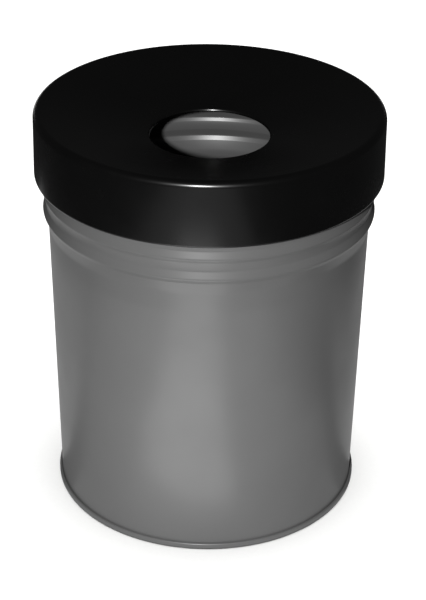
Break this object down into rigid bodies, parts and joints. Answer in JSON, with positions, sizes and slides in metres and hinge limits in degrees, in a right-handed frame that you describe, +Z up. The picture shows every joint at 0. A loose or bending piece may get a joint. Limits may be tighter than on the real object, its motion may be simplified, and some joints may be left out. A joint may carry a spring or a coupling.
{
  "type": "self-extinguishing waste bin",
  "caption": "Round steel waste bin with beads under a rolled rim, a double-seamed base, and a loose flame-smothering head with a funnel top and a central throw-in hole.",
  "frame": {"origin": "centre of the base, on the floor that the bin stands on", "axes": "+Z up along the axis of revolution, +X to the right and -Y towards the viewer; the body of revolution has no front of its own"},
  "size_m": [0.3158, 0.3158, 0.379],
  "materials": {
    "body_coating": "satin grey powder coat on steel sheet",
    "head_coating": "satin black powder coat on aluminium sheet",
    "bare_wire": "drawn steel wire",
    "sealing_compound": "cured seam compound"
  },
  "bodies": {
    "bin": {"body_shell": "body_coating", "bottom_pan": "body_coating", "seam_sealant": "sealing_compound", "rim_wire": "bare_wire"},
    "head": {"extinguishing_head": "head_coating"}
  },
  "joints": [
    {"name": "head_lift", "type": "slide", "parent": "bin", "child": "head", "axis": [0, 0, 1], "range_m": [0, 0.12]}
  ]
}
